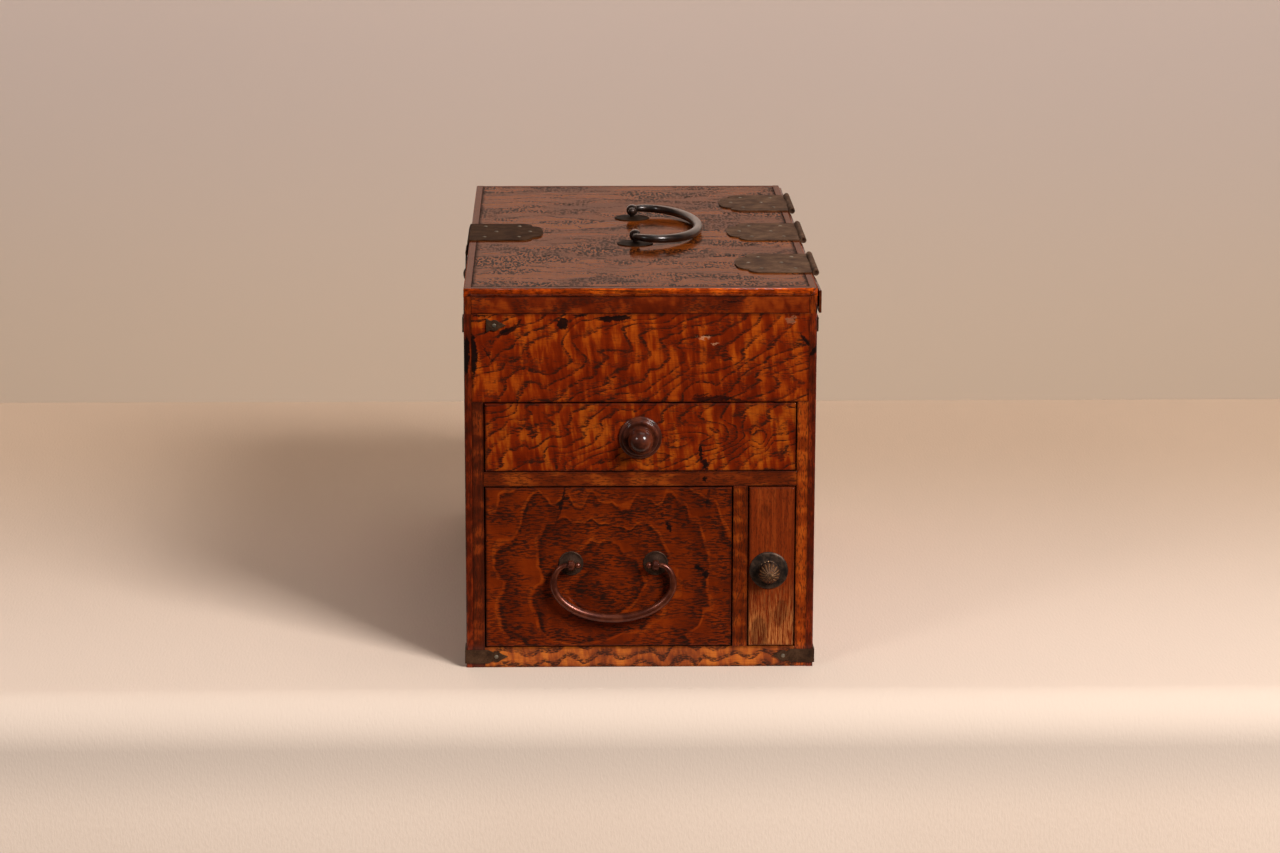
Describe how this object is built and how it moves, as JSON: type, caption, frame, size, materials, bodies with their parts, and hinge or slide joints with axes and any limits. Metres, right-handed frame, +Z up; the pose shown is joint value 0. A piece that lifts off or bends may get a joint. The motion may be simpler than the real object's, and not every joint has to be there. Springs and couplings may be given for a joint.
{
  "type": "small chest with drawers",
  "caption": "Upright wooden chest with a hinged lid, a hasp and carrying bail on top, and knobbed and bailed drawers that slide out of one narrow end.",
  "frame": {"origin": "middle of the underside of the case, where it rests", "axes": "+Z up, -Y towards the end with the drawers, +X towards the side with the lid hinges"},
  "size_m": [0.2212, 0.4019, 0.2451],
  "materials": {
    "figured_wood": "clear lacquer over figured wood",
    "frame_wood": "clear lacquer over straight-grained wood",
    "plain_wood": "bare planed softwood",
    "lacquered_wood": "glossy dark red-brown lacquer",
    "bronze": "cast bronze with dark patina",
    "iron": "wrought iron with brown-black patina",
    "nail_heads": "iron worn bright"
  },
  "bodies": {
    "case": {"left_side_board": "figured_wood", "right_side_board": "figured_wood", "back_board": "figured_wood", "bottom_board": "plain_wood", "upper_front_panel": "figured_wood", "left_stile": "frame_wood", "right_stile": "frame_wood", "bottom_rail": "frame_wood", "middle_rail": "frame_wood", "divider_post": "frame_wood", "compartment_floor": "plain_wood", "drawer_shelf": "plain_wood", "partition_board": "plain_wood", "body_corner_beads": "frame_wood", "bottom_corner_irons": "iron", "upper_corner_irons": "iron", "case_nails": "nail_heads", "lock_plate": "iron", "front_hinge_case_leaf": "iron", "middle_hinge_case_leaf": "iron", "back_hinge_case_leaf": "iron", "hinge_pins": "iron"},
    "lid": {"lid_panel": "figured_wood", "lid_front_rim": "frame_wood", "lid_back_rim": "frame_wood", "lid_left_rim": "frame_wood", "lid_right_rim": "frame_wood", "lid_corner_beads": "frame_wood", "lid_top_beads": "frame_wood", "lid_side_strips": "frame_wood", "front_hinge_lid_leaf": "iron", "middle_hinge_lid_leaf": "iron", "back_hinge_lid_leaf": "iron", "lid_nails": "nail_heads", "hasp_plate": "iron", "hasp_pin": "iron", "carry_rosettes": "iron", "carry_posts": "iron"},
    "hasp": {"hasp_tongue": "iron", "hasp_button": "nail_heads", "hasp_loop": "iron"},
    "carry_bail": {"carry_bail": "iron"},
    "shallow_drawer": {"shallow_drawer_front": "figured_wood", "shallow_drawer_sides": "plain_wood", "shallow_drawer_back": "plain_wood", "shallow_drawer_bottom": "plain_wood", "turned_knob": "lacquered_wood"},
    "deep_drawer": {"deep_drawer_front": "figured_wood", "deep_drawer_sides": "plain_wood", "deep_drawer_back": "plain_wood", "deep_drawer_bottom": "plain_wood", "drop_posts": "iron", "drop_rosettes": "iron"},
    "narrow_drawer": {"narrow_drawer_front": "frame_wood", "narrow_drawer_sides": "plain_wood", "narrow_drawer_back": "plain_wood", "narrow_drawer_bottom": "plain_wood", "chrysanthemum_knob": "bronze"},
    "drop_bail": {"drop_bail": "iron"}
  },
  "joints": [
    {"name": "lid_hinge", "type": "hinge", "parent": "case", "child": "lid", "pos_m": [0.1083, 0, 0.2364], "axis": [0, 1, 0], "range_deg": [0, 250]},
    {"name": "hasp_hinge", "type": "hinge", "parent": "lid", "child": "hasp", "pos_m": [-0.1078, 0, 0.225], "axis": [0, 1, 0], "range_deg": [0, 142]},
    {"name": "carry_bail_swing", "type": "hinge", "parent": "lid", "child": "carry_bail", "pos_m": [0, 0.008, 0.2415], "axis": [0, -1, 0], "range_deg": [0, 173.9]},
    {"name": "shallow_drawer_slide", "type": "slide", "parent": "case", "child": "shallow_drawer", "axis": [0, -1, 0], "range_m": [0, 0.3]},
    {"name": "deep_drawer_slide", "type": "slide", "parent": "case", "child": "deep_drawer", "axis": [0, -1, 0], "range_m": [0, 0.3]},
    {"name": "narrow_drawer_slide", "type": "slide", "parent": "case", "child": "narrow_drawer", "axis": [0, -1, 0], "range_m": [0, 0.3]},
    {"name": "drop_bail_swing", "type": "hinge", "parent": "deep_drawer", "child": "drop_bail", "pos_m": [-0.0163, -0.1965, 0.0658], "axis": [-1, 0, 0], "range_deg": [0, 165]}
  ]
}
